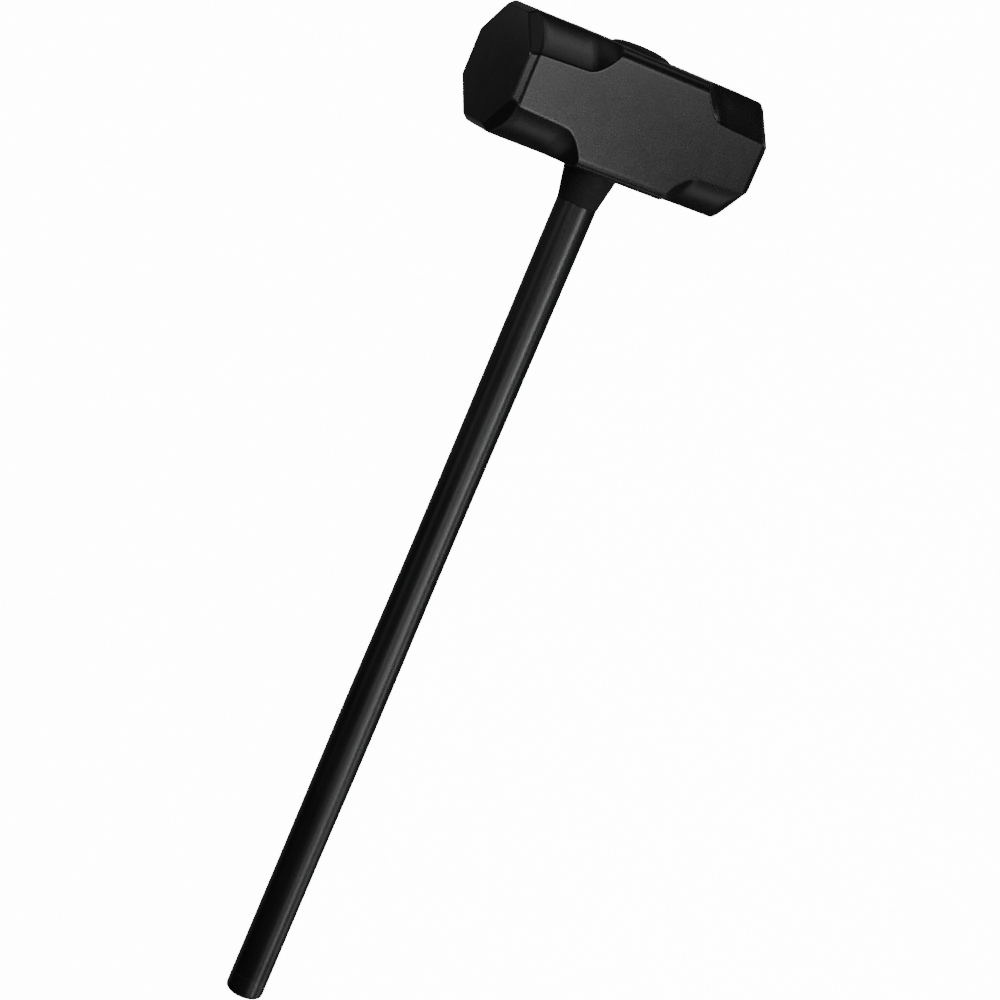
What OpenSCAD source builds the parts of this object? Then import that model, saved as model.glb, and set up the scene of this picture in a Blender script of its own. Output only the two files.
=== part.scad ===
// Double-faced sledge hammer: a forged head with a through eye on a resin-bonded composite handle.
// It lies on one cheek. +X runs along the head, +Y along the handle towards the head, +Z is up.
// The origin is on the resting cheek, straight below the centre of the eye. Millimetres.

/* [Head] */
// Distance between the two striking faces
head_length = 200; // [180:1:220]
// Side of the head's square section
head_side = 86; // [82:1:92]
// Radius along the long edges of the square middle block
head_edge_r = 8; // [4:0.5:10]
// Half the length of the square middle block, at the foot of its sloping end walls
block_half = 39.5; // [36:0.5:44]

/* [Corner chamfers] */
// Leg of each 45 degree corner chamfer where it meets the striking face
chamfer_leg = 25.5; // [22:0.5:28]
// Dip of each chamfer plane towards the striking face, in degrees
chamfer_dip = 1.5; // [0:0.25:2.5]
// Radius where a chamfer runs out into the middle block
runout_r = 16; // [8:1:20]
// Slope of the middle block's end walls towards the eye, in degrees
wall_slope = 20; // [5:1:30]

/* [Striking faces] */
// Length of the bevel behind each striking face, along the head
bevel_length = 5.5; // [3:0.5:8]
// Depth of that bevel at the striking face
bevel_depth = 4; // [2:0.5:6]

/* [Eye] */
// Diameter of the eye at both mouths
eye_mouth_d = 33; // [31:0.5:35]
// Diameter of the eye at its narrow middle
eye_waist_d = 27; // [25:0.5:29]
// Thickness of the rubber ring in the lower mouth
dam_height = 5; // [3:0.5:8]

/* [Eye cap] */
// Diameter of the domed cap
cap_d = 42; // [38:0.5:48]
// Height of the dome above the head
cap_height = 4; // [3:0.5:6]
// Depth of the cap's plug inside the eye
cap_plug = 7; // [4:0.5:10]

/* [Neck collar] */
// Diameter of the collar where it meets the head
collar_top_d = 39; // [36:0.5:42]
// Length of the collar along the handle
collar_length = 25; // [20:1:32]

/* [Handle] */
// Distance from the centre of the eye to the end of the butt
butt_reach = 698; // [660:1:730]
// Diameter of the fibreglass core
core_d = 21; // [19:0.5:22]
// Diameter of the stepped-down stretch under the collar
spigot_d = 24.4; // [24:0.2:25.4]
// Diameter just below the collar, and again at the swell
handle_d = 29; // [28:0.2:30]
// Diameter at the waist
waist_d = 27.8; // [26.4:0.2:28]
// Diameter of the straight stretch that runs to the butt
tail_d = 28.4; // [27:0.2:28.8]
// Distance from the centre of the eye to the waist
waist_at = 325; // [290:5:345]
// Distance from the centre of the eye to the middle of the swell
swell_at = 485; // [450:5:510]
// Distance from the centre of the eye to the start of the straight tail
tail_at = 590; // [570:5:610]

/* [Butt] */
// Length of the butt cap along the handle
butt_length = 16; // [12:1:20]
// Thickness of the butt cap's end wall
butt_wall = 8; // [6:0.5:10]
// Radius round the rim of the butt
butt_rim_r = 4; // [2:0.5:5]

/* [Hidden] */
$fn = 96;

head_half = head_length / 2;
side_half = head_side / 2;
dam_top = -side_half + dam_height;
plug_bottom = side_half - cap_plug;
collar_bottom = -side_half - collar_length;
jacket_bottom = -butt_reach + butt_length;
core_bottom = -butt_reach + butt_wall;
chamfer_reach = (head_side - chamfer_leg) / sqrt(2);
chamfer_mid_reach = chamfer_reach + (head_half - block_half) * tan(chamfer_dip);
bevel_angle = atan(bevel_depth / bevel_length);
cutter_size = head_side;
cutter_lead = 1;
blend_steps = 10;
foot_steps = 8;
dome_steps = 12;
rim_steps = 8;
coat_black = [0.09, 0.09, 0.095];
moulded_black = [0.12, 0.12, 0.125];
rubber_black = [0.06, 0.06, 0.06];
fibreglass_tan = [0.78, 0.7, 0.45];
resin_amber = [0.72, 0.5, 0.2];

// Radius of the eye at a height along the handle's axis
function eye_r(z) = (eye_waist_d + (eye_mouth_d - eye_waist_d) * abs(z) / side_half) / 2;

// Smooth run from 0 to 1
function ease(t) = (1 - cos(180 * t)) / 2;

// Outline points of one smooth change of radius along the handle, from one distance to the next
function blend(from, from_d, to, to_d) = [
  for (i = [0:blend_steps])
    let (t = i / blend_steps)
      [(from_d + (to_d - from_d) * ease(t)) / 2, -from - (to - from) * t]
];

// Puts a piece that is modelled along Z on the handle's axis
module on_handle_axis() {
  translate([0, 0, side_half])
    rotate([-90, 0, 0])
      children();
}

// A body of revolution about the handle's axis, from an outline of radius and height
module turned(outline) {
  on_handle_axis()
    rotate_extrude()
      polygon(outline);
}

module rounded_square(side, r) {
  square([side, side - 2 * r], center = true);
  square([side - 2 * r, side], center = true);
  for (x = [-1, 1], y = [-1, 1])
    translate([x * (side / 2 - r), y * (side / 2 - r)])
      circle(r);
}

// The bar that the head is cut from, lying along X
module head_bar() {
  rotate([90, 0, 90])
    linear_extrude(head_length, center = true)
      rounded_square(head_side, head_edge_r);
}

// Outline of a chamfer cut seen from the side: a long step whose sloping wall has a round foot
module runout_outline() {
  centre_x = runout_r * (1 - sin(wall_slope)) / cos(wall_slope);
  foot = [
    for (i = [0:foot_steps])
      let (a = 270 - (90 - wall_slope) * i / foot_steps)
        [centre_x + runout_r * cos(a), runout_r * (1 + sin(a))]
  ];
  polygon(concat(
    foot,
    [
      [-cutter_size * tan(wall_slope), cutter_size],
      [head_length, cutter_size],
      [head_length, 0]
    ]
  ));
}

// Removes one corner of the bar, from the middle block out past the +X striking face
module chamfer_cut() {
  translate([block_half, 0, chamfer_mid_reach])
    rotate([0, chamfer_dip, 0])
      rotate([90, 0, 0])
        linear_extrude(cutter_size, center = true)
          runout_outline();
}

// Bevels one side of the +X striking face; reach is that side's distance from the head's axis
module bevel_cut(reach) {
  translate([head_half - bevel_length, 0, reach])
    rotate([0, bevel_angle, 0])
      translate([-cutter_lead, -cutter_size / 2, 0])
        cube([bevel_length * 2 + cutter_lead, cutter_size, cutter_size / 2]);
}

// All the cuts at the +X end
module end_cuts() {
  for (turn = [0:90:270]) {
    rotate([turn + 45, 0, 0]) {
      chamfer_cut();
      bevel_cut(chamfer_reach + bevel_length * tan(chamfer_dip));
    }
    rotate([turn, 0, 0])
      bevel_cut(side_half);
  }
}

module eye_bore() {
  rotate([-90, 0, 0])
    rotate_extrude()
      polygon([
        [0, -side_half - cutter_lead],
        [eye_r(side_half + cutter_lead), -side_half - cutter_lead],
        [eye_waist_d / 2, 0],
        [eye_r(side_half + cutter_lead), side_half + cutter_lead],
        [0, side_half + cutter_lead]
      ]);
}

module head() {
  color(coat_black)
    translate([0, 0, side_half])
      difference() {
        head_bar();
        end_cuts();
        mirror([1, 0, 0])
          end_cuts();
        eye_bore();
      }
}

module handle_core() {
  color(fibreglass_tan)
    on_handle_axis()
      translate([0, 0, core_bottom])
        cylinder(h = plug_bottom - core_bottom, d = core_d);
}

module eye_resin() {
  color(resin_amber)
    turned([
      [core_d / 2, dam_top],
      [eye_r(dam_top), dam_top],
      [eye_waist_d / 2, 0],
      [eye_r(plug_bottom), plug_bottom],
      [core_d / 2, plug_bottom]
    ]);
}

module resin_dam() {
  color(rubber_black)
    turned([
      [core_d / 2, -side_half],
      [eye_mouth_d / 2, -side_half],
      [eye_r(dam_top), dam_top],
      [core_d / 2, dam_top]
    ]);
}

module eye_cap() {
  dome = [
    for (i = [0:dome_steps - 1])
      let (a = 90 * i / dome_steps)
        [cap_d / 2 * cos(a), side_half + cap_height * sin(a)]
  ];
  color(moulded_black)
    turned(concat(
      [
        [0, plug_bottom],
        [eye_r(plug_bottom), plug_bottom],
        [eye_mouth_d / 2, side_half]
      ],
      dome,
      [[0, side_half + cap_height]]
    ));
}

module neck_collar() {
  color(rubber_black)
    turned([
      [spigot_d / 2, collar_bottom],
      [handle_d / 2, collar_bottom],
      [collar_top_d / 2, -side_half],
      [spigot_d / 2, -side_half]
    ]);
}

module handle_jacket() {
  color(moulded_black)
    turned(concat(
      [
        [core_d / 2, -side_half],
        [spigot_d / 2, -side_half],
        [spigot_d / 2, collar_bottom]
      ],
      blend(-collar_bottom, handle_d, waist_at, waist_d),
      blend(waist_at, waist_d, swell_at, handle_d),
      blend(swell_at, handle_d, tail_at, tail_d),
      [
        [tail_d / 2, jacket_bottom],
        [core_d / 2, jacket_bottom]
      ]
    ));
}

module butt_cap() {
  rim = [
    for (i = [0:rim_steps])
      let (a = 90 * i / rim_steps)
        [tail_d / 2 - butt_rim_r * (1 - cos(a)), -butt_reach + butt_rim_r * (1 - sin(a))]
  ];
  color(moulded_black)
    turned(concat(
      [
        [0, core_bottom],
        [core_d / 2, core_bottom],
        [core_d / 2, jacket_bottom],
        [tail_d / 2, jacket_bottom]
      ],
      rim,
      [[0, -butt_reach]]
    ));
}

head();
handle_core();
eye_resin();
resin_dam();
eye_cap();
neck_collar();
handle_jacket();
butt_cap();
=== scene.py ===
import math

import bmesh
import bpy
import numpy as np
from mathutils import Matrix, Vector


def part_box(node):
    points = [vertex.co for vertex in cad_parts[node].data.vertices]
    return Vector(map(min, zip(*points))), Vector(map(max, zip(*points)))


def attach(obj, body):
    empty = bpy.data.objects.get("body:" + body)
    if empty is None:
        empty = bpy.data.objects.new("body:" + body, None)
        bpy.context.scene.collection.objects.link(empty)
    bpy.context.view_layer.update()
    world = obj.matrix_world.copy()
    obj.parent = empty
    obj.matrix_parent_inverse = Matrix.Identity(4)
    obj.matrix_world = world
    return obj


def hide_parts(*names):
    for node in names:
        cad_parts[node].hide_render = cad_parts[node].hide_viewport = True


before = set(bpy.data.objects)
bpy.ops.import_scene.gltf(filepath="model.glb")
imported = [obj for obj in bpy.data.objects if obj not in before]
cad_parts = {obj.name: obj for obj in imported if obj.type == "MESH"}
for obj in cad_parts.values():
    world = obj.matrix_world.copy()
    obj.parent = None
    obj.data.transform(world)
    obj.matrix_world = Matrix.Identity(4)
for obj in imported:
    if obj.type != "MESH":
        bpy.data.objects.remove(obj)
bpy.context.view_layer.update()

MM = 0.001
BODY = "root"

# Sizes of the head, as in the CAD part
head_low, head_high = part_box("head")
HEAD_HALF = head_high.x
SIDE_HALF = (head_high.z - head_low.z) / 2
BLOCK_HALF = 39.5 * MM
CHAMFER_LEG = 25.5 * MM
CHAMFER_DIP = math.radians(1.5)
RUNOUT_R = 16 * MM
WALL_SLOPE = math.radians(20)
BEVEL_LENGTH = 5.5 * MM
BEVEL_DEPTH = 4 * MM
BEVEL_ANGLE = math.atan2(BEVEL_DEPTH, BEVEL_LENGTH)
CHAMFER_REACH = (2 * SIDE_HALF - CHAMFER_LEG) / math.sqrt(2)

# Radii of the head's soft edges, and the heights of the crowns on its faces and chamfers
LONG_EDGE_R = 8 * MM
CHAMFER_EDGE_R = 1.5 * MM
BEVEL_CORNER_R = 5 * MM
BEVEL_EDGE_R = 6 * MM
FACE_EDGE_R = 2.5 * MM
FACE_CROWN = 0.3 * MM
CHAMFER_CROWN = 2 * MM

# Rings along half of the head: where they close up for the run-outs and the bevel, and how many
RUNOUT_FROM = 30 * MM
RUNOUT_TO = 54 * MM
BEVEL_LEAD = 3 * MM
RIM_SHARE = 0.3
RING_COUNTS = (6, 44, 10, 30)

# Directions round a quarter of the head, in degrees: where its edges pass, and how many
EDGES_FROM = 17
EDGES_TO = 73
FLAT_SPOKES = 8
EDGE_SPOKES = 76

# Search for the head's surface: from where to where, as shares, and how often the gap is halved
SPOKE_INSIDE = 0.4
SPOKE_OUTSIDE = 1.6
FACE_INSIDE = 0.9
FACE_OUTSIDE = 1.1
SEARCH_STEPS = 34

# Rings on the striking face, as shares of its rim
FACE_SHARES = (
    *np.linspace(0.995, 0.94, 12),
    0.92, 0.9, 0.87, 0.84, 0.8, 0.74, 0.66, 0.56, 0.45, 0.33, 0.2, 0.08,
)

# Sizes along the handle, as in the CAD part
cap_low, cap_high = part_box("eye_cap")
collar_low, collar_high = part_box("neck_collar")
jacket_low, jacket_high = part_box("handle_jacket")
butt_low, butt_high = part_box("butt_cap")
core_low, core_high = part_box("handle_core")
EYE_MOUTH_R = 16.5 * MM
EYE_WAIST_R = 13.5 * MM
CORE_R = 10.5 * MM
SPIGOT_R = 12.2 * MM
HANDLE_R = 14.5 * MM
WAIST_R = 13.9 * MM
TAIL_R = butt_high.x
COLLAR_TOP_R = collar_high.x
CAP_R = cap_high.x
WAIST_AT = -325 * MM
SWELL_AT = -485 * MM
TAIL_AT = -590 * MM
BUTT_RIM_R = 4 * MM

# Length of the jacket's straight stretch just below the collar
SLEEVE_LAND = 1 * MM

# How far the rounding of each small corner on the handle's pieces reaches
COLLAR_FOOT_CUT = 0.35 * MM
COLLAR_TOP_CUT = 0.8 * MM
SLEEVE_TOP_CUT = 0.5 * MM
SLEEVE_SHOULDER_CUT = 0.3 * MM
SEAM_CUT = 0.25 * MM

# Detail of the turned pieces
TURNED_SEGMENTS = 160
EYE_SEGMENTS = 96
ON_AXIS = 1e-7
CUTTER_LEAD = 2 * MM
DOME_STEPS = 24
DOME_POWER = 0.9
BLEND_STEPS = 24
TAIL_STEPS = 20
CORNER_STEPS = 6
RIM_STEPS = 12

# Faces that meet at more than this angle have a sharp edge between them
SHARP_ANGLE = math.radians(32)

# Camera: turned to the left striking face, raised towards the top of the head; angles in degrees
CAMERA_YAW = 31.65
CAMERA_LIFT = 11.73
CAMERA_ROLL = 23.18
CAMERA_DISTANCE = 1.7285
CAMERA_LENS = 87.24
CAMERA_TARGET = (0.03725, -0.2845, SIDE_HALF)

# Studio sweep: a round flat floor that curves up into a wall
SWEEP_FLAT = 4.0
SWEEP_CURVE = 1.5
SWEEP_HEIGHT = 5.0
SWEEP_SEGMENTS = 96
SWEEP_STEPS = 12
SWEEP_GLOW = 14.0
WORLD_BRIGHTNESS = 0.03

# The range that most of a noise texture's values lie in
NOISE_LOW = 0.3
NOISE_HIGH = 0.7

# Softboxes: name, centre, the point it faces, its two sides, and how bright its face looks
SOFTBOXES = (
    ("head_key", (0.3, 0.11, 1.1), (0.3, 0.11, 0.0), (0.2, 0.36), 6.3),
    ("head_wing", (0.5, 0.17, 1.1), (0.5, 0.17, 0.0), (0.2, 0.22), 5.3),
    ("head_tip", (0.75, 0.1, 1.1), (0.75, 0.1, 0.0), (0.3, 0.2), 1.5),
    ("neck_key", (0.45, -0.24, 1.1), (0.45, -0.24, 0.0), (0.16, 0.16), 13.0),
    ("grip_key", (0.45, -0.42, 1.1), (0.45, -0.42, 0.0), (0.16, 0.2), 8.0),
    ("waist_key", (0.45, -0.7, 1.1), (0.45, -0.7, 0.0), (0.16, 0.36), 6.0),
    ("waist_key_inner", (0.27, -0.7, 1.1), (0.27, -0.7, 0.0), (0.2, 0.36), 1.8),
    ("butt_key", (0.65, -1.2, 1.1), (0.65, -1.2, 0.0), (0.24, 0.5), 4.8),
    ("grip_inner", (0.07, -0.5, 1.1), (0.07, -0.5, 0.0), (0.2, 0.6), 2.0),
    ("butt_inner", (0.07, -1.1, 1.1), (0.07, -1.1, 0.0), (0.2, 0.5), 1.1),
    ("overhead_left", (-0.36, -0.5, 1.1), (-0.36, -0.5, 0.0), (0.35, 0.6), 1.4),
    ("bevel_key", (-1.0, 0.12, 1.1), (-1.0, 0.12, 0.0), (0.4, 0.25), 8.0),
    ("right_high", (1.32, -0.75, 0.95), (0.0, -0.75, 0.95), (0.65, 0.28), 3.1),
    ("right_low", (1.32, 0.5, 0.14), (0.0, 0.5, 0.14), (0.65, 0.28), 3.9),
    ("right_near", (1.32, -1.2, 0.55), (0.0, -1.2, 0.55), (0.4, 0.55), 1.0),
    ("left_low", (-1.1, -0.3, 0.15), (0.0, -0.3, 0.15), (0.9, 0.3), 0.35),
    ("left_far", (-1.1, 0.3, 0.2), (0.0, 0.3, 0.2), (0.35, 0.3), 10.0),
    ("far_low", (0.45, 1.15, 0.14), (0.45, 0.0, 0.14), (0.4, 0.28), 1.4),
    ("far_mid", (0.45, 1.15, 0.42), (0.45, 0.0, 0.42), (0.5, 0.28), 0.8),
    ("far_middle", (0.1, 1.15, 0.25), (0.1, 0.0, 0.25), (0.28, 0.5), 0.6),
    ("far_left", (-0.6, 1.15, 0.14), (-0.6, 0.0, 0.14), (0.9, 0.28), 0.44),
    ("near_low", (0.9, -1.45, 0.14), (0.9, 0.0, 0.14), (0.8, 0.28), 1.0),
    ("near_left", (0.0, -1.45, 0.2), (0.0, 0.0, 0.2), (0.8, 0.4), 0.47),
    ("floor_left", (-0.75, 0.3, -0.35), (-0.75, 0.3, 0.0), (0.6, 1.4), 0.12),
    ("floor_face", (-0.38, 0.1, -0.35), (-0.38, 0.1, 0.0), (0.15, 0.15), 0.35),
    ("floor_middle", (0.1, -0.2, -0.35), (0.1, -0.2, 0.0), (0.8, 1.6), 0.09),
)


# ---------------------------------------------------------------- camera, floor and lights

def add_camera():
    yaw, lift, roll = (math.radians(a) for a in (CAMERA_YAW, CAMERA_LIFT, CAMERA_ROLL))
    back = Vector((-math.sin(yaw) * math.cos(lift), math.sin(lift), math.cos(yaw) * math.cos(lift)))
    right = (-back).cross(Vector((0, 1, 0))).normalized()
    up = right.cross(-back)
    turn = Matrix.Rotation(-roll, 3, -back)
    axes = Matrix((turn @ right, turn @ up, back)).transposed()
    data = bpy.data.cameras.new("camera")
    data.lens = CAMERA_LENS
    camera = bpy.data.objects.new("camera", data)
    camera.matrix_world = Matrix.Translation(Vector(CAMERA_TARGET) + back * CAMERA_DISTANCE) @ axes.to_4x4()
    bpy.context.scene.collection.objects.link(camera)
    bpy.context.scene.camera = camera


def add_softbox(name, place, target, size, radiance):
    """A rectangular area light; radiance is how bright its face looks."""
    data = bpy.data.lights.new(name, "AREA")
    data.shape = "RECTANGLE"
    data.size, data.size_y = size
    data.energy = radiance * math.pi * size[0] * size[1]
    light = bpy.data.objects.new(name, data)
    light.location = place
    aim = (Vector(target) - Vector(place)).normalized()
    light.rotation_euler = aim.to_track_quat("-Z", "Y").to_euler()
    light.visible_camera = False
    bpy.context.scene.collection.objects.link(light)


def add_world(brightness):
    world = bpy.data.worlds.new("studio")
    world.use_nodes = True
    background = world.node_tree.nodes["Background"]
    background.inputs["Color"].default_value = (brightness, brightness, brightness, 1)
    bpy.context.scene.world = world


def add_floor():
    """A white paper sweep: a round flat floor that curves up into a wall all round."""
    mesh = sweep_mesh()
    sweep = bpy.data.objects.new("studio_sweep", mesh)
    bpy.context.scene.collection.objects.link(sweep)
    for face in mesh.polygons:
        face.use_smooth = True
    material = bpy.data.materials.new("sweep_paper")
    material.use_nodes = True
    shader = material.node_tree.nodes["Principled BSDF"]
    shader.inputs["Base Color"].default_value = (0.9, 0.9, 0.9, 1)
    shader.inputs["Roughness"].default_value = 0.9
    shader.inputs["Emission Color"].default_value = (1, 1, 1, 1)
    shader.inputs["Emission Strength"].default_value = SWEEP_GLOW
    mesh.materials.append(material)
    sweep.visible_glossy = False
    sweep.visible_diffuse = False
    sweep.visible_shadow = False


# ---------------------------------------------------------------- materials

class Nodes:
    """Short calls for building one material's nodes."""

    def __init__(self, name):
        self.material = bpy.data.materials.new(name)
        self.material.use_nodes = True
        self.tree = self.material.node_tree
        self.shader = self.tree.nodes["Principled BSDF"]
        self.place = self.tree.nodes.new("ShaderNodeTexCoord").outputs["Object"]

    def link(self, source, socket):
        self.tree.links.new(source, socket)

    def stretched(self, scale):
        node = self.tree.nodes.new("ShaderNodeMapping")
        node.inputs["Scale"].default_value = scale
        self.link(self.place, node.inputs["Vector"])
        return node.outputs["Vector"]

    def noise(self, scale, detail=2.0, roughness=0.5, vector=None):
        node = self.tree.nodes.new("ShaderNodeTexNoise")
        node.inputs["Scale"].default_value = scale
        node.inputs["Detail"].default_value = detail
        node.inputs["Roughness"].default_value = roughness
        self.link(vector or self.place, node.inputs["Vector"])
        return node.outputs["Fac"]

    def spread(self, value, low, high):
        node = self.tree.nodes.new("ShaderNodeMapRange")
        node.inputs["From Min"].default_value = NOISE_LOW
        node.inputs["From Max"].default_value = NOISE_HIGH
        node.inputs["To Min"].default_value = low
        node.inputs["To Max"].default_value = high
        self.link(value, node.inputs["Value"])
        return node.outputs["Result"]

    def blend_colours(self, factor, dark, light):
        node = self.tree.nodes.new("ShaderNodeMix")
        node.data_type = "RGBA"
        node.inputs["A"].default_value = (*dark, 1)
        node.inputs["B"].default_value = (*light, 1)
        self.link(factor, node.inputs["Factor"])
        return node.outputs["Result"]

    def bump(self, height, distance, below=None):
        node = self.tree.nodes.new("ShaderNodeBump")
        node.inputs["Strength"].default_value = 1.0
        node.inputs["Distance"].default_value = distance
        self.link(height, node.inputs["Height"])
        if below is not None:
            self.link(below, node.inputs["Normal"])
        return node.outputs["Normal"]


def satin_coat():
    """Black satin coating over ground steel: fine orange peel, and faint grinding lines across the head."""
    n = Nodes("head_coating")
    tone = n.noise(35, detail=4)
    n.link(n.blend_colours(n.spread(tone, 0, 1), (0.005, 0.005, 0.0052), (0.008, 0.008, 0.0084)),
           n.shader.inputs["Base Color"])
    n.link(n.spread(n.noise(70, detail=5, roughness=0.6), 0.255, 0.285), n.shader.inputs["Roughness"])
    lines = n.noise(1, detail=3, roughness=0.6, vector=n.stretched((700, 18, 700)))
    peel = n.noise(850, detail=2)
    normal = n.bump(lines, 0.008 * MM)
    normal = n.bump(peel, 0.005 * MM, below=normal)
    n.link(normal, n.shader.inputs["Normal"])
    n.shader.inputs["IOR"].default_value = 1.5
    return n.material


def moulded_plastic():
    """Satin black moulded sleeve: a fine even grain and faint flow marks along the handle."""
    n = Nodes("jacket_plastic")
    tone = n.noise(28, detail=3)
    n.link(n.blend_colours(n.spread(tone, 0, 1), (0.006, 0.006, 0.0063), (0.01, 0.01, 0.0105)),
           n.shader.inputs["Base Color"])
    flow = n.noise(1, detail=3, vector=n.stretched((160, 9, 160)))
    n.link(n.spread(flow, 0.28, 0.33), n.shader.inputs["Roughness"])
    grain = n.noise(1900, detail=2)
    n.link(n.bump(grain, 0.008 * MM), n.shader.inputs["Normal"])
    n.shader.inputs["IOR"].default_value = 1.58
    return n.material


def matt_black(name, roughness):
    """Matt black rubber or plastic: slightly lighter patches and a fine skin texture."""
    n = Nodes(name)
    tone = n.noise(60, detail=4)
    n.link(n.blend_colours(n.spread(tone, 0, 1), (0.006, 0.006, 0.006), (0.011, 0.011, 0.011)),
           n.shader.inputs["Base Color"])
    n.link(n.spread(n.noise(180, detail=3), roughness - 0.05, roughness + 0.05),
           n.shader.inputs["Roughness"])
    n.link(n.bump(n.noise(1500, detail=3), 0.015 * MM), n.shader.inputs["Normal"])
    n.shader.inputs["IOR"].default_value = 1.4
    return n.material


def drawn_fibreglass():
    """Pulled glass fibre in resin: fine lengthwise streaks."""
    n = Nodes("fibreglass")
    streaks = n.noise(1, detail=4, vector=n.stretched((900, 12, 900)))
    n.link(n.blend_colours(n.spread(streaks, 0, 1), (0.5, 0.4, 0.2), (0.7, 0.6, 0.36)),
           n.shader.inputs["Base Color"])
    n.link(n.spread(streaks, 0.3, 0.5), n.shader.inputs["Roughness"])
    n.link(n.bump(streaks, 0.02 * MM), n.shader.inputs["Normal"])
    return n.material


def cast_resin():
    """Amber cast resin with cloudy patches."""
    n = Nodes("cast_resin")
    cloud = n.noise(90, detail=4)
    n.link(n.blend_colours(n.spread(cloud, 0, 1), (0.36, 0.2, 0.06), (0.55, 0.36, 0.13)),
           n.shader.inputs["Base Color"])
    n.link(n.spread(cloud, 0.2, 0.35), n.shader.inputs["Roughness"])
    return n.material


# ---------------------------------------------------------------- mesh helpers

def finish_mesh(mesh):
    """Outward faces, smooth shading, and sharp edges where the surface really turns."""
    work = bmesh.new()
    work.from_mesh(mesh)
    bmesh.ops.recalc_face_normals(work, faces=work.faces)
    for face in work.faces:
        face.smooth = True
    for edge in work.edges:
        edge.smooth = edge.calc_face_angle(0.0) < SHARP_ANGLE
    work.to_mesh(mesh)
    work.free()


def add_piece(name, mesh, node, material):
    finish_mesh(mesh)
    mesh.materials.clear()
    mesh.materials.append(material)
    piece = bpy.data.objects.new(name, mesh)
    bpy.context.scene.collection.objects.link(piece)
    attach(piece, BODY)
    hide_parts(node)


def mesh_from_rings(name, rings, closed):
    """A mesh of quads between rings of points; a ring of one point closes an end with triangles."""
    points = []
    starts = []
    for ring in rings:
        starts.append(len(points))
        points.extend(tuple(p) for p in ring)
    faces = []
    pairs = list(zip(range(len(rings) - 1), range(1, len(rings))))
    if closed:
        pairs.append((len(rings) - 1, 0))
    for a, b in pairs:
        count = max(len(rings[a]), len(rings[b]))
        for i in range(count):
            j = (i + 1) % count
            corners = [(a, i), (a, j), (b, j), (b, i)]
            face = []
            for ring, k in corners:
                index = starts[ring] + (k if len(rings[ring]) > 1 else 0)
                if index not in face:
                    face.append(index)
            faces.append(face)
    mesh = bpy.data.meshes.new(name)
    mesh.from_pydata(points, [], faces)
    return mesh


def turned(name, outline, segments=TURNED_SEGMENTS):
    """A body of revolution about the handle's axis, from an outline of (y, radius).

    The outline is a closed loop, or a run that starts and ends on the axis.
    """
    rings = []
    for y, radius in outline:
        if radius < ON_AXIS:
            rings.append([(0, y, SIDE_HALF)])
            continue
        angles = [2 * math.pi * i / segments for i in range(segments)]
        rings.append([(radius * math.sin(a), y, SIDE_HALF + radius * math.cos(a)) for a in angles])
    on_axis = len(rings[0]) == 1 and len(rings[-1]) == 1
    return mesh_from_rings(name, rings, closed=not on_axis)


def sweep_mesh():
    """The studio's floor and wall: rings from the floor's centre to the wall's top."""
    angles = [2 * math.pi * i / SWEEP_SEGMENTS for i in range(SWEEP_SEGMENTS)]
    outline = [(SWEEP_FLAT, 0)]
    for i in range(1, SWEEP_STEPS + 1):
        a = math.pi / 2 * i / SWEEP_STEPS
        outline.append((SWEEP_FLAT + SWEEP_CURVE * math.sin(a), SWEEP_CURVE * (1 - math.cos(a))))
    outline.append((SWEEP_FLAT + SWEEP_CURVE, SWEEP_HEIGHT))
    rings = [[(0, 0, 0)]]
    for radius, z in outline:
        rings.append([(radius * math.cos(a), radius * math.sin(a), z) for a in angles])
    return mesh_from_rings("studio_sweep", rings, closed=False)


def softened(corners, steps=CORNER_STEPS):
    """Rounds a loop's corners. Each corner is (y, radius, cut); cut is how far the rounding reaches."""
    outline = []
    count = len(corners)
    for i, (y, r, cut) in enumerate(corners):
        if cut == 0:
            outline.append((y, r))
            continue
        here = Vector((y, r))
        before = Vector(corners[i - 1][:2])
        after = Vector(corners[(i + 1) % count][:2])
        start = here + (before - here).normalized() * cut
        end = here + (after - here).normalized() * cut
        for k in range(steps + 1):
            t = k / steps
            outline.append(tuple((1 - t) ** 2 * start + 2 * t * (1 - t) * here + t * t * end))
    return outline


def eased(start, start_r, end, end_r, steps):
    """Points of a smooth change of radius along the handle, without the last one."""
    run = []
    for i in range(steps):
        t = i / steps
        ease = (1 - math.cos(math.pi * t)) / 2
        run.append((start + (end - start) * t, start_r + (end_r - start_r) * ease, 0))
    return run


# ---------------------------------------------------------------- the head

def round_edge(a, b, turn, radius):
    """The common part of two solids with its edge rounded; turn is how far the surface turns there."""
    a = a + radius
    b = b + radius
    cosine = math.cos(turn)
    beyond = (b > a * cosine) & (a > b * cosine)
    spread = np.maximum(a * a + b * b - 2 * a * b * cosine, 0)
    nearest = np.maximum(a, b)
    rounded = np.sqrt(spread) / math.sin(turn)
    return np.where(beyond & (nearest > 0), rounded, nearest) - radius


def round_min(a, b, radius):
    """Two solids joined, with a round fillet in the corner between them."""
    corner = np.maximum(radius - a, 0) ** 2 + np.maximum(radius - b, 0) ** 2
    return np.maximum(radius, np.minimum(a, b)) - np.sqrt(corner)


def cut_corner(y_side, z_side, chamfer, turn, radius):
    """A square bar with one corner cut off, and the cut's two edges rounded."""
    edges = [round_edge(side, chamfer, turn, radius) for side in (y_side, z_side)]
    return np.maximum(*edges)


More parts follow.
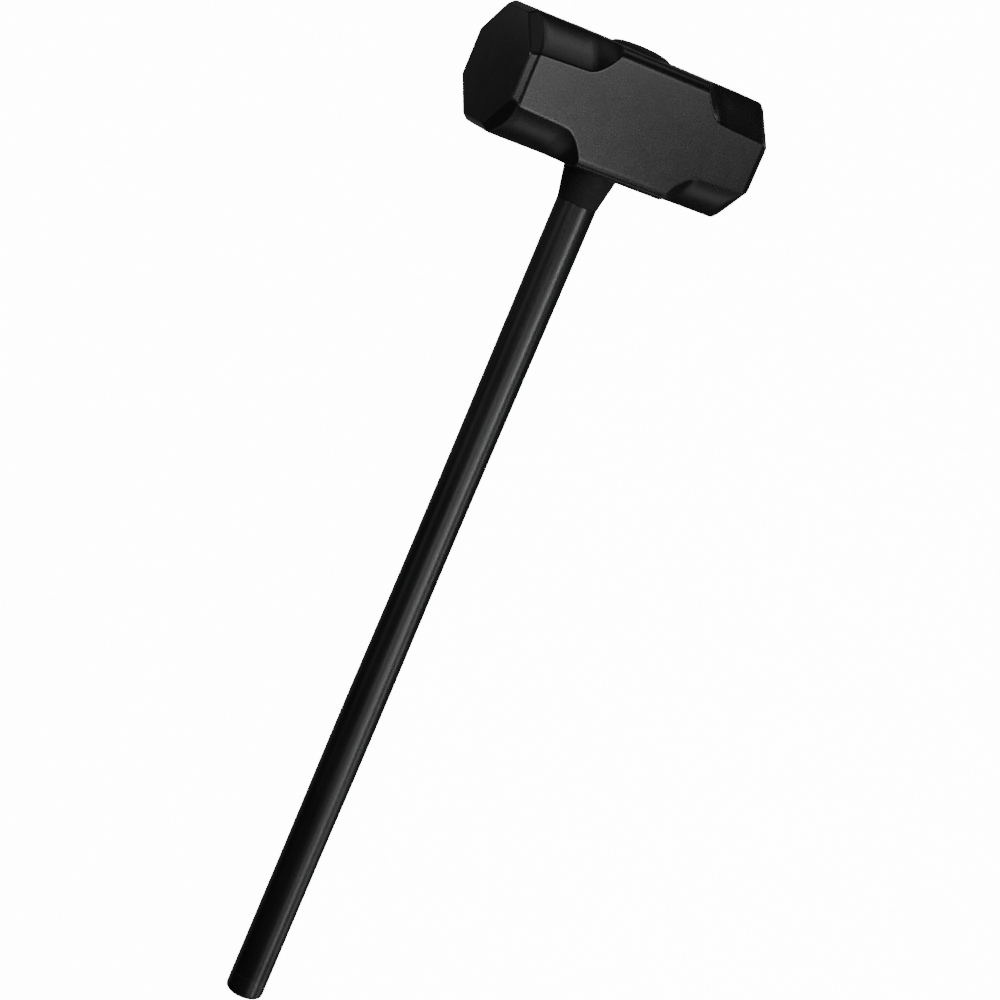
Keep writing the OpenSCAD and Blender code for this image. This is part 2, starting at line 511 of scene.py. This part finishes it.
def head_field(p):
    """Below zero inside the head and above zero outside it; p holds points about the head's centre."""
    x, y, z = np.abs(p).T
    corner = (y + z) / math.sqrt(2)
    swell = CHAMFER_CROWN * (1 - ((y - z) / CHAMFER_LEG) ** 2)
    above_floor = corner - swell - (CHAMFER_REACH + (HEAD_HALF - x) * math.tan(CHAMFER_DIP))
    past_wall = (x - BLOCK_HALF) * math.cos(WALL_SLOPE) + above_floor * math.sin(WALL_SLOPE)
    chamfer = round_min(above_floor, past_wall, RUNOUT_R)
    bar = round_edge(y - SIDE_HALF, z - SIDE_HALF, math.pi / 2, LONG_EDGE_R)
    cut = cut_corner(y - SIDE_HALF, z - SIDE_HALF, chamfer, math.pi / 4, CHAMFER_EDGE_R)
    body = np.maximum(bar, cut)
    along = (x - HEAD_HALF + BEVEL_LENGTH) * math.sin(BEVEL_ANGLE)
    reaches = (SIDE_HALF, SIDE_HALF, CHAMFER_REACH + BEVEL_LENGTH * math.tan(CHAMFER_DIP))
    planes = [along + (d - reach) * math.cos(BEVEL_ANGLE) for d, reach in zip((y, z, corner), reaches)]
    mitre = math.acos(math.sin(BEVEL_ANGLE) ** 2 + math.cos(BEVEL_ANGLE) ** 2 / math.sqrt(2))
    bevel = cut_corner(*planes, mitre, BEVEL_CORNER_R)
    face = x - HEAD_HALF + FACE_CROWN * (y * y + z * z) / SIDE_HALF ** 2
    shoulder = round_edge(body, bevel, BEVEL_ANGLE, BEVEL_EDGE_R)
    rim = round_edge(bevel, face, math.pi / 2 - BEVEL_ANGLE, FACE_EDGE_R)
    return np.maximum(shoulder, rim)


def meet_surface(inside, outside):
    """The points where straight lines from inside to outside cross the head's surface."""
    for _ in range(SEARCH_STEPS):
        middle = (inside + outside) / 2
        within = (head_field(middle) < 0)[:, None]
        inside = np.where(within, middle, inside)
        outside = np.where(within, outside, middle)
    return (inside + outside) / 2


def ring_angles():
    """Directions round the head, closer together where its edges and run-outs pass."""
    quarter = [
        *np.linspace(0, EDGES_FROM, FLAT_SPOKES, endpoint=False),
        *np.linspace(EDGES_FROM, EDGES_TO, EDGE_SPOKES, endpoint=False),
        *np.linspace(EDGES_TO, 90, FLAT_SPOKES, endpoint=False),
    ]
    return np.radians([turn + a for turn in (0, 90, 180, 270) for a in quarter])


def head_stations():
    """Places along half the head, closer together at the run-outs and at the bevel."""
    rim = HEAD_HALF - FACE_CROWN - RIM_SHARE * FACE_EDGE_R
    shoulder = HEAD_HALF - BEVEL_LENGTH - BEVEL_LEAD
    stops = (0, RUNOUT_FROM, RUNOUT_TO, shoulder, rim)
    stations = []
    for start, end, count in zip(stops, stops[1:], RING_COUNTS):
        stations.extend(np.linspace(start, end, count, endpoint=False))
    return [*stations, rim]


def head_half_rings():
    """Rings of points from the middle of the head out to the centre of the +X striking face."""
    angles = ring_angles()
    spokes = np.stack([np.zeros_like(angles), np.cos(angles), np.sin(angles)], axis=1)
    rings = []
    for x in head_stations():
        axis = np.array([x, 0, 0])
        inside = axis + spokes * SIDE_HALF * SPOKE_INSIDE
        outside = axis + spokes * SIDE_HALF * SPOKE_OUTSIDE
        rings.append(meet_surface(inside, outside))
    rim = rings[-1]
    for share in FACE_SHARES:
        inside = rim * np.array([FACE_INSIDE, share, share])
        outside = rim * np.array([FACE_OUTSIDE, share, share])
        rings.append(meet_surface(inside, outside))
    rings.append(np.array([[HEAD_HALF, 0.0, 0.0]]))
    return rings


def head_mesh():
    half = head_half_rings()
    mirror = np.array([-1.0, 1.0, 1.0])
    rings = [ring * mirror for ring in reversed(half[1:])] + half
    lift = np.array([0, 0, SIDE_HALF])
    return mesh_from_rings("head_forging", [ring + lift for ring in rings], closed=False)


def cut_eye(mesh):
    """Cuts the through eye, which narrows towards its middle."""
    slope = (EYE_MOUTH_R - EYE_WAIST_R) / SIDE_HALF
    past = SIDE_HALF + CUTTER_LEAD
    mouth = EYE_WAIST_R + slope * past
    outline = [(-past, 0), (-past, mouth), (0, EYE_WAIST_R), (past, mouth), (past, 0)]
    cutter_mesh = turned("eye_cutter", outline, segments=EYE_SEGMENTS)
    work = bmesh.new()
    work.from_mesh(cutter_mesh)
    bmesh.ops.recalc_face_normals(work, faces=work.faces)
    work.to_mesh(cutter_mesh)
    work.free()
    cutter = bpy.data.objects.new("eye_cutter", cutter_mesh)
    blank = bpy.data.objects.new("head_blank", mesh)
    for item in (cutter, blank):
        bpy.context.scene.collection.objects.link(item)
    cut = blank.modifiers.new("eye", "BOOLEAN")
    cut.operation = "DIFFERENCE"
    cut.solver = "EXACT"
    cut.object = cutter
    evaluated = blank.evaluated_get(bpy.context.evaluated_depsgraph_get())
    result = bpy.data.meshes.new_from_object(evaluated)
    for item in (cutter, blank):
        bpy.data.objects.remove(item)
    return result


def add_head(material):
    mesh = head_mesh()
    finish_mesh(mesh)
    add_piece("head_forging", cut_eye(mesh), "head", material)


# ---------------------------------------------------------------- the handle's pieces

def eye_r(y):
    return EYE_WAIST_R + (EYE_MOUTH_R - EYE_WAIST_R) * abs(y) / SIDE_HALF


def add_eye_cap(material):
    plug = cap_low.y
    top = cap_high.y
    dome = []
    for i in range(DOME_STEPS):
        a = math.pi / 2 * i / DOME_STEPS
        dome.append((SIDE_HALF + (top - SIDE_HALF) * math.sin(a) ** DOME_POWER, CAP_R * math.cos(a)))
    outline = [(plug, 0), (plug, eye_r(plug)), (SIDE_HALF, EYE_MOUTH_R), *dome, (top, 0)]
    add_piece("cap_dome", turned("cap_dome", outline), "eye_cap", material)


def add_neck_collar(material):
    top = collar_high.y
    foot = collar_low.y
    corners = [
        (foot, SPIGOT_R, 0),
        (foot, HANDLE_R, COLLAR_FOOT_CUT),
        (top, COLLAR_TOP_R, COLLAR_TOP_CUT),
        (top, SPIGOT_R, 0),
    ]
    mesh = turned("collar_flare", softened(corners))
    add_piece("collar_flare", mesh, "neck_collar", material)


def add_handle_jacket(material):
    shoulder = collar_low.y
    seam = butt_high.y
    corners = [
        (jacket_high.y, CORE_R, 0),
        (jacket_high.y, SPIGOT_R, SLEEVE_TOP_CUT),
        (shoulder, SPIGOT_R, 0),
        (shoulder, HANDLE_R, SLEEVE_SHOULDER_CUT),
        *eased(shoulder - SLEEVE_LAND, HANDLE_R, WAIST_AT, WAIST_R, BLEND_STEPS),
        *eased(WAIST_AT, WAIST_R, SWELL_AT, HANDLE_R, BLEND_STEPS),
        *eased(SWELL_AT, HANDLE_R, TAIL_AT, TAIL_R, TAIL_STEPS),
        (TAIL_AT, TAIL_R, 0),
        (seam, TAIL_R, SEAM_CUT),
        (seam, CORE_R, 0),
    ]
    mesh = turned("jacket_sleeve", softened(corners))
    add_piece("jacket_sleeve", mesh, "handle_jacket", material)


def add_butt_cap(material):
    seam = butt_high.y
    end = butt_low.y
    pocket = core_low.y
    corners = [
        (pocket, CORE_R, 0),
        (seam, CORE_R, 0),
        (seam, TAIL_R, SEAM_CUT),
        (end, TAIL_R, BUTT_RIM_R),
    ]
    outline = [(pocket, 0), *softened([*corners, (end, 0, 0)], steps=RIM_STEPS)]
    add_piece("butt_plug", turned("butt_plug", outline), "butt_cap", material)


def dress_inner_pieces():
    looks = {
        "handle_core": drawn_fibreglass(),
        "eye_resin": cast_resin(),
        "resin_dam": matt_black("dam_rubber", 0.7),
    }
    for node, material in looks.items():
        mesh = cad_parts[node].data
        mesh.materials.clear()
        mesh.materials.append(material)


# ---------------------------------------------------------------- the scene

add_camera()
add_floor()
add_world(WORLD_BRIGHTNESS)
for softbox in SOFTBOXES:
    add_softbox(*softbox)

plastic = moulded_plastic()
add_head(satin_coat())
add_eye_cap(matt_black("cap_plastic", 0.55))
add_neck_collar(matt_black("collar_rubber", 0.75))
add_handle_jacket(plastic)
add_butt_cap(plastic)
dress_inner_pieces()
